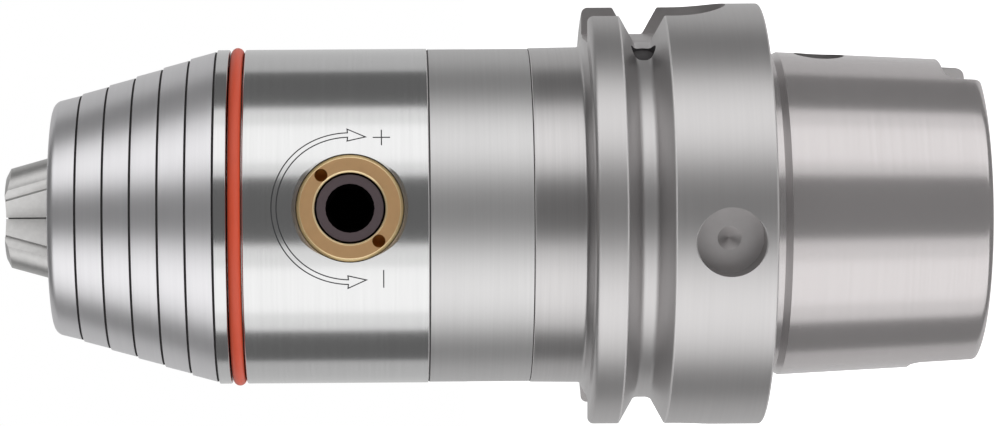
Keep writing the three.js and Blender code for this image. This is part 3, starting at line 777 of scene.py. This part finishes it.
@dataclass
class DirectionMarks:
    """Fine laser-marked lines round the bush: a double arc with two arrowheads, a plus and a minus."""

    surface: float = 25.0
    height: float = 93.0
    angle: float = -79.7
    line: float = 0.17
    arc_radii: tuple[float, float] = (11.33, 10.6)
    thickness: float = 0.012

    def ribbon(self, path: np.ndarray, closed: bool = False) -> tuple[np.ndarray, list[list[int]]]:
        """A flat line of constant width along a path, laid on the cylinder.

        A path point (a, b) lies a towards the shank and b round the cylinder from the bush's axis, so it is
        at angle b / R and height h - a.  Each point is moved half a line width to both sides along the mean
        normal of its two neighbours.

        Args:
            path: The [a, b] points.
            closed: Whether the last point joins the first.

        Returns:
            The vertices and faces of a thin slab.
        """
        if closed:
            ahead, behind = np.roll(path, -1, axis=0), np.roll(path, 1, axis=0)
        else:
            ahead = np.vstack([path[1:], 2 * path[-1] - path[-2]])
            behind = np.vstack([2 * path[0] - path[1], path[:-1]])
        into = (path - behind) / np.linalg.norm(path - behind, axis=1, keepdims=True)
        out = (ahead - path) / np.linalg.norm(ahead - path, axis=1, keepdims=True)
        mean = into + out
        mean /= np.linalg.norm(mean, axis=1, keepdims=True)
        normal = np.stack([-mean[:, 1], mean[:, 0]], axis=1)
        reach = self.line / 2 / np.clip(np.sum(mean * out, axis=1, keepdims=True), 0.35, 1)
        left, right = path + normal * reach, path - normal * reach
        corners = []
        for flat, radius in (
            (left, self.surface + self.thickness),
            (right, self.surface + self.thickness),
            (right, self.surface - 0.05),
            (left, self.surface - 0.05),
        ):
            turn = math.radians(self.angle) + flat[:, 1] / self.surface
            around = radius * np.stack([np.cos(turn), np.sin(turn)], axis=1)
            corners.append(np.column_stack([around, self.height - flat[:, 0]]))
        rings = np.stack(corners, axis=1)
        count = len(path)
        steps = count if closed else count - 1
        faces = []
        for side in range(4):
            i = np.arange(steps)
            j = (i + 1) % count
            other = (side + 1) % 4
            faces += np.stack([i * 4 + side, i * 4 + other, j * 4 + other, j * 4 + side], axis=1).tolist()
        if not closed:
            faces += [[0, 1, 2, 3], [(count - 1) * 4 + k for k in (3, 2, 1, 0)]]
        return rings.reshape(-1, 3), faces

    def paths(self) -> list[tuple[np.ndarray, bool]]:
        """The marks' paths: one closed outline for the double arrow, and three straight strokes."""
        outer, inner = self.arc_radii
        middle = (outer + inner) / 2
        start, end = math.radians(91.5), math.radians(268.5)
        turn = np.linspace(start, end, 90)
        sweep = np.stack([np.cos(turn), np.sin(turn)], axis=1)
        top_head = np.array([(-0.35, middle - 0.98), (2.3, middle - 0.33), (-0.35, middle + 0.98)])
        low_head = top_head[::-1] * (1, -1)
        arrow = np.concatenate([top_head, outer * sweep, low_head, (inner * sweep)[::-1]])
        reach = 1.26
        plus = (4.6, 10.55)
        minus = (4.8, -10.5)
        along = np.linspace(-reach, reach, 8)[:, None]
        return [
            (arrow, True),
            (along * (1, 0) + plus, False),
            (along * (0, 1) + plus, False),
            (along * (0, 1.09) + minus, False),
        ]

    def build(self) -> bpy.types.Object:
        """Join the strokes into one piece and dress it."""
        vertices, faces, base = [], [], 0
        for path, closed in self.paths():
            points, quads = self.ribbon(path, closed)
            vertices.append(points)
            faces += [[corner + base for corner in quad] for quad in quads]
            base += len(points)
        piece = make_object("direction_marks", np.concatenate(vertices), faces)
        dress(piece, MARK_INK, "ground_steel", "body")
        return piece


@dataclass
class SealRing:
    """The orange elastomer ring between the housing and the nose."""

    radius: float = 24.35
    section: float = 0.95
    height: float = 109.7

    def build(self) -> bpy.types.Object:
        """Revolve a circle about Z: (R + s cos v, z + s sin v) for v over a full turn."""
        turn = np.linspace(0, 2 * math.pi, 24, endpoint=False)
        centre = (self.radius, self.height)
        section = centre + self.section * np.stack([np.cos(turn), np.sin(turn)], axis=1)
        piece = make_object("seal", *revolve(section, 256))
        shade(piece, 60)
        dress(piece, RUBBER, "orange_rubber", "body", "seal_ring")
        return piece


# ---------------------------------------------------------------- jaws and nose


@dataclass
class Jaw:
    """A clamping jaw: a prism that slides down an incline, with a wedge-shaped gripping edge."""

    tip: float = 144.4
    incline: float = 17.5
    gap: float = 0.12
    inner_half: float = 2.5
    guide_half: float = 3.0
    guide_start: float = 4.9
    back_radius: float = 4.0
    back_centre: float = 3.7
    length: float = 18.2
    bevel: tuple[float, float] = (0.75, 1.4)
    tee: tuple[float, float] = (3.6, 8.06)
    neck_half: float = 2.2
    head_half: float = 3.8
    head_heights: tuple[float, float] = (-4.6, -2.6)
    first_angle: float = -22.5
    count: int = 3

    def outline(self, inner: float, gap: float) -> np.ndarray:
        """The jaw's section in the plane of its tip, made larger all round by a gap."""
        radius = self.back_radius + gap
        guide = self.guide_half + gap
        edge = math.asin(guide / radius)
        turn = np.linspace(-edge, edge, 25)
        back = np.stack([self.back_centre + radius * np.cos(turn), radius * np.sin(turn)], axis=1)
        near = self.inner_half + gap
        start = self.guide_start
        low = np.array([(inner, -near), (start - 0.6, -near), (start - 0.3, 0.2 - near), (start, -guide)])
        return np.concatenate([low, back, low[::-1] * (1, -1)])

    def inclined(self, outline: np.ndarray, low: float, high: float, degrees: float) -> np.ndarray:
        """The levels of a prism whose section moves outwards by tan(incline) for each step down."""
        slant = math.tan(math.radians(self.incline))
        flat = np.column_stack([outline, np.zeros(len(outline))])
        levels = np.stack([flat + ((self.tip - z) * slant, 0, z) for z in (low, high)])
        return turn_about_z(levels, degrees)

    def build(self) -> list[bpy.types.Object]:
        """Make the three jaws.

        Returns:
            The finished objects.
        """
        return [self._one(i) for i in range(self.count)]

    def _one(self, number: int) -> bpy.types.Object:
        """Make one jaw: the inclined prism kept inside the wedge, with a chamfered tip and a T-head."""
        turn = self.first_angle + number * 360 / self.count
        bottom = self.tip - self.length
        name = f"clamping_jaw_{number + 1}"
        piece = make_object(name, *loft(self.inclined(self.outline(-20, 0), bottom, self.tip, turn)))
        reach = 40.0
        side = reach * math.tan(math.radians(60))
        wedge = np.array([(self.gap, 0), (reach, -side), (reach, side)])
        combine(piece, prism("wedge", wedge, bottom - 1, self.tip + 1, turn), Way.KEEP)
        back = self.back_centre + self.back_radius
        high, wide = self.bevel
        low, slope = self.tip - high - 1, wide / high
        top = self.tip + 1
        cone = np.array([(back + slope, low), (reach, low), (reach, top), (back - wide - slope, top)])
        combine(piece, make_object("cone", *revolve(cone, 96)), Way.CUT)
        low, high = (bottom + height for height in self.head_heights)
        neck = prism("neck", rectangle(*self.tee, self.neck_half), low, bottom + 0.5, turn)
        combine(piece, neck, Way.JOIN)
        combine(piece, prism("head", rectangle(*self.tee, self.head_half), low, high, turn), Way.JOIN)
        soften_edges(piece, 0.1)
        shade(piece, 35)
        dress(piece, JAW_STEEL, "jaw_steel", f"jaw_{number + 1}", f"jaw_{number + 1}")
        return piece


@dataclass
class NoseCone:
    """The stepped cone that guides the jaws."""

    base: float = 110.84
    radius: float = 25.0
    cylinder: float = 2.1
    segment: float = 4.05
    segments: int = 6
    slope: float = 13.8
    step: float = 0.288
    groove_depth: float = 0.25
    groove_low: float = 0.3
    groove_high: float = 0.06
    face_rounding: float = 1.5
    bore: float = 7.0
    cavity: float = 15.3
    cavity_top: float = 126.4
    thread_radius: float = 22.6
    thread_base: float = 101.6
    top: float = 137.3
    sides: int = 256

    def outline(self) -> list[Corner]:
        """The outline's corners: a cylinder, then cones that each start a step further in, past a groove."""
        rise = self.segment * math.tan(math.radians(self.slope))
        corners = [(self.thread_radius, self.thread_base, 0.2), (self.thread_radius, self.base, 0.1)]
        corners.append((self.radius, self.base, 0.2))
        radius, z = self.radius, self.base + self.cylinder
        for _ in range(self.segments):
            corners.append((radius, z - self.groove_low, 0.04))
            corners.append((radius - self.step - self.groove_depth, z - self.groove_high, 0.0))
            corners.append((radius - self.step, z + self.groove_high, 0.03))
            radius -= self.step + rise
            z += self.segment
        corners += [
            (radius, self.top, self.face_rounding),
            (self.bore, self.top, 0.3),
            (self.bore, self.cavity_top, 0.0),
            (self.cavity, self.cavity_top, 0.0),
            (self.cavity, self.thread_base, 0.2),
        ]
        return corners

    def build(self, jaw: Jaw) -> bpy.types.Object:
        """Turn the cone, cut the jaws' guides and dress it.

        Args:
            jaw: The jaw whose section the guides follow.

        Returns:
            The finished object.
        """
        piece = turned("nose", self.outline(), self.sides, 1.5)
        give_finishes(piece, NOSE_STEEL, GROUND_STEEL, SHADE_LINE_STEEL, POCKET_STEEL)
        for i in range(jaw.count):
            turn = jaw.first_angle + i * 360 / jaw.count
            guide = jaw.inclined(jaw.outline(0, 0.2), self.thread_base - 1, self.top + 1, turn)
            combine(piece, make_object("guide", *loft(guide)), Way.CUT, POCKET_STEEL)
        shade(piece)
        self._paint(piece)
        dress(piece, NOSE_STEEL, "nose_steel", "body", "nose_cone")
        return piece

    def _paint(self, piece: bpy.types.Object) -> None:
        """Tell the ground cylinder from the satin cone, and lay painted shade on the fine grooves' flanks."""
        centres, normals = face_places(piece)
        z, radius = centres[:, 2], np.hypot(centres[:, 0], centres[:, 1])
        start = self.base + self.cylinder
        end = start + self.segment * (self.segments - 1) + self.groove_high
        plain = read_numbers(piece) == 0
        low = start - self.groove_low
        steep = plain & (np.abs(normals[:, 2]) > 0.6) & (radius > self.cavity + 0.2)
        # The grooves' steep flanks get a dark grey: painted shade.
        paint(piece, (plain & (z < low), GROUND_STEEL), (steep & (z > low) & (z < end), SHADE_LINE_STEEL))


# ---------------------------------------------------------------- bush and pinion


@dataclass
class Actuator:
    """The brass bush and the blackened pinion that the key turns."""

    height: float = 93.0
    angle: float = -79.7
    bush_radius: float = 7.75
    bush_inner: float = 17.3
    bush_outer: float = 24.0
    bore: float = 5.15
    spanner_circle: float = 6.3
    spanner_radius: float = 0.9
    spanner_depth: float = 2.5
    spanner_angle: float = 41.0
    shaft: float = 4.85
    shaft_outer: float = 23.61
    hexagon: float = 5.9
    hex_depth: float = 6.0
    mouth: float = 3.55

    def place(self, points: np.ndarray) -> np.ndarray:
        """Move points drawn along Z about the origin onto the pinion's axis."""
        return turn_about_z(z_axis_to_x(points), self.angle) + (0, 0, self.height)

    def bush(self) -> bpy.types.Object:
        """Turn the bush with its bevelled edge, and drill its two spanner holes."""
        corners = [
            (self.bush_radius, self.bush_inner, 0.1),
            (self.bush_radius, self.bush_outer - 0.55, 0.12),
            (self.bush_radius - 0.45, self.bush_outer, 0.12),
            (self.bore + 0.25, self.bush_outer, 0.04),
            (self.bore, self.bush_outer - 0.25, 0.04),
            (self.bore, self.bush_inner, 0.1),
        ]
        vertices, faces = revolve(spaced(rounded_outline(corners), 1.0), 160)
        piece = make_object("bush", self.place(vertices), faces)
        give_finishes(piece, BRASS, BRASS_EDGE_HIGHLIGHT, BRASS_HOLE_SHADE)
        floor, rim, radius = self.bush_outer - self.spanner_depth, self.bush_outer, self.spanner_radius
        hole = [(0.01, floor - 0.4), (radius, floor), (radius, rim - 0.05), (radius + 0.1, rim + 0.05)]
        # The spanner holes' walls and floors are lined with darker brass: painted shade.
        for turn in (0, 180):
            vertices, faces = round_bar(hole, 40)
            moved = turn_about_z(vertices + (0, self.spanner_circle, 0), self.spanner_angle + turn)
            combine(piece, make_object("spanner", self.place(moved), faces), Way.CUT, BRASS_HOLE_SHADE)
        shade(piece)
        _, normals = face_places(piece)
        outwards = normals @ turn_about_z(np.array([1.0, 0.0, 0.0]), self.angle)
        plain = read_numbers(piece) == 0
        # Faces that slope outwards at the bevel get a paler brass: a painted highlight.
        paint(piece, (plain & (outwards > 0.2) & (outwards < 0.97), BRASS_EDGE_HIGHLIGHT))
        dress(piece, BRASS, "bush_brass", "body", "pinion_bush")
        return piece

    def pinion_head(self) -> bpy.types.Object:
        """Turn the shaft with its hexagon socket; the CAD pinion's teeth still show behind it."""
        top, socket = self.shaft_outer, self.shaft_outer - self.hex_depth
        corners = [(self.shaft, 16.5), (self.shaft, top - 0.25), (self.shaft - 0.25, top)]
        vertices, faces = round_bar(corners, 128)
        piece = make_object("pinion_shaft", self.place(vertices), faces)
        give_finishes(piece, BLACK_STEEL, SOCKET_SHADE_BLACK)
        across = self.hexagon / 2 / math.cos(math.pi / 6)
        turn = np.arange(6) * math.pi / 3
        hexagon = np.stack([across * np.cos(turn), across * np.sin(turn)], axis=1)
        level = np.column_stack([hexagon, np.zeros(6)])
        levels = np.stack([level + (0, 0, socket), level + (0, 0, top + 1)])
        points, quads = loft(levels)
        # The hexagon socket and the mouth cut below are lined with near-black: painted shade.
        combine(piece, make_object("hexagon", self.place(points), quads), Way.CUT, SOCKET_SHADE_BLACK)
        mouth = [(self.mouth, top - 0.57), (self.mouth, top + 0.5)]
        points, quads = round_bar(mouth, 96)
        combine(piece, make_object("mouth", self.place(points), quads), Way.CUT, SOCKET_SHADE_BLACK)
        shade(piece)
        dress(piece, BLACK_STEEL, "black_steel", "pinion")
        return piece


# ---------------------------------------------------------------- stage


@dataclass
class Studio:
    """Camera, softboxes and floor.  Angles are from the camera's direction towards the image's top."""

    azimuth: float = 7.5
    distance: float = 570.4
    height: float = 90.13
    lift: float = 0.432
    pan: float = 0.00266
    roll: float = 0.00665
    lens: float = 136.84
    shift: float = 0.12
    sensor: float = 36.0
    room: float = 0.17
    box_distance: float = 620.0
    box_length: float = 1600.0
    box_centre: float = 70.0
    floor_radius: float = 3000.0
    floor_drop: float = 0.1
    boxes: list[tuple[str, float, float, float]] = field(
        default_factory=lambda: [
            ("upper_softbox", 26.5, 78.4, 1.0),
            ("upper_core", 36.0, 64.0, 0.35),
            ("lower_softbox", -83.9, -18.7, 1.0),
            ("lower_core", -68.0, -34.0, 0.35),
            ("upper_back_panel", 116.0, 180.0, 0.5),
            ("lower_back_panel", -180.0, -116.0, 0.5),
        ]
    )

    def axes(self) -> tuple[Vector, Vector]:
        """The horizontal direction to the camera, and the one that points to the picture's top."""
        a = math.radians(self.azimuth)
        return Vector((math.sin(a), -math.cos(a), 0)), Vector((math.cos(a), math.sin(a), 0))

    def camera(self) -> None:
        """Place the camera: it looks across the spindle axis with that axis level in the picture."""
        towards, up = self.axes()
        right = Vector((0, 0, -1)) * math.cos(self.pan) + towards * math.sin(self.pan)
        back = towards * math.cos(self.pan) + Vector((0, 0, 1)) * math.sin(self.pan)
        rolled = right * math.cos(self.roll) - up * math.sin(self.roll)
        upward = right * math.sin(self.roll) + up * math.cos(self.roll)
        spot = towards * self.distance + up * self.lift + Vector((0, 0, self.height))
        data = bpy.data.cameras.new("camera")
        data.lens = self.lens
        data.sensor_width = self.sensor
        data.shift_x = self.shift
        data.clip_start = 0.01
        camera = bpy.data.objects.new("camera", data)
        turn = Matrix((rolled, upward, back)).transposed().to_4x4()
        camera.matrix_world = Matrix.Translation(spot * MM) @ turn
        bpy.context.scene.collection.objects.link(camera)
        bpy.context.scene.camera = camera

    def softbox(self, name: str, low: float, high: float, radiance: float) -> None:
        """A tall softbox parallel to the spindle axis, between two angles round it."""
        towards, up = self.axes()
        middle = math.radians((low + high) / 2)
        half = math.radians((high - low) / 2)
        facing = towards * math.cos(middle) + up * math.sin(middle)
        data = bpy.data.lights.new(name, "AREA")
        data.shape = "RECTANGLE"
        width, tall = 2 * self.box_distance * math.tan(half) * MM, self.box_length * MM
        data.size, data.size_y = width, tall
        data.energy = radiance * width * tall * math.pi
        light = bpy.data.objects.new(name, data)
        light.visible_camera = False
        across = Vector((0, 0, 1)).cross(facing).normalized()
        turn = Matrix((across, Vector((0, 0, 1)), facing)).transposed().to_4x4()
        spot = facing * self.box_distance + Vector((0, 0, self.box_centre))
        light.matrix_world = Matrix.Translation(spot * MM) @ turn
        bpy.context.scene.collection.objects.link(light)

    def floor(self) -> None:
        """A pale round floor at the shank's end, which the polished metal does not mirror."""
        turn = np.arange(96) * math.pi / 48
        ring = self.floor_radius * np.stack([np.cos(turn), np.sin(turn)], axis=1)
        ring = np.column_stack([ring, np.full(len(turn), -self.floor_drop)])
        floor = make_object("floor", ring, [list(range(len(turn)))])
        material = bpy.data.materials.new("pale_floor")
        material.use_nodes = True
        shader = material.node_tree.nodes["Principled BSDF"]
        shader.inputs["Base Color"].default_value = linear("#f2f2f2")
        shader.inputs["Roughness"].default_value = 0.9
        shader.inputs["Emission Color"].default_value = linear("#ffffff")
        shader.inputs["Emission Strength"].default_value = 1.0
        floor.data.materials.append(material)
        floor.visible_glossy = False
        floor.visible_shadow = False
        floor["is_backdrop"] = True

    def surroundings(self) -> None:
        """A white backdrop for the camera, and a dim grey room for the light that metal mirrors."""
        world = bpy.data.worlds.new("studio")
        bpy.context.scene.world = world
        world.use_nodes = True
        tree = world.node_tree
        room = tree.nodes["Background"]
        room.inputs["Color"].default_value = (self.room, self.room, self.room, 1)
        white = add_node(tree, "Background", {"Strength": 1.0})
        white.inputs["Color"].default_value = (1, 1, 1, 1)
        seen = add_node(tree, "LightPath")
        shades = {0: seen.outputs["Is Camera Ray"], 1: room.outputs[0], 2: white.outputs[0]}
        mix = add_node(tree, "MixShader", {}, shades)
        tree.links.new(mix.outputs[0], tree.nodes["World Output"].inputs["Surface"])

    def build(self) -> None:
        """Set up the camera, the light, the floor and plain colour handling."""
        self.camera()
        for name, low, high, radiance in self.boxes:
            self.softbox(name, low, high, radiance)
        self.floor()
        self.surroundings()
        bpy.context.scene.view_settings.view_transform = "Standard"


# ---------------------------------------------------------------- CAD nodes that stay


INNER_FINISHES = {
    "inner_steel": INNER_STEEL,
    "race_steel": RACE_STEEL,
    "cage_brass": BRASS,
    "black_steel": BLACK_STEEL,
}


def dress_cad_nodes(frame: dict) -> None:
    """Give every CAD node that still shows the finish of its record slot.
    """
    slots = {part["node"]: part["material_slot"] for part in frame["record"]["subparts"]}
    for name, node in frame["nodes"].items():
        finish = INNER_FINISHES.get(slots[name])
        if finish:
            node.data.materials.clear()
            node.data.materials.append(finish.material())


def write_sizes(cad: tuple) -> None:
    """Turn the CAD model's box and the visual model's box into plain lists, which are not kept."""
    plain = [[[float(v) for v in corner] for corner in box] for box in (cad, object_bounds())]


def main() -> None:
    """Build the stage and every piece, in order from the shank to the jaws."""
    logging.basicConfig(level=logging.INFO, format="%(message)s")
    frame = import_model()
    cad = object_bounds()
    Studio().build()
    dress_cad_nodes(frame)
    Shank().build()
    Housing().build()
    DirectionMarks().build()
    SealRing().build()
    jaw = Jaw()
    NoseCone().build(jaw)
    jaw.build()
    actuator = Actuator()
    actuator.bush()
    actuator.pinion_head()
    write_sizes(cad)


if __name__ == "__main__":
    main()
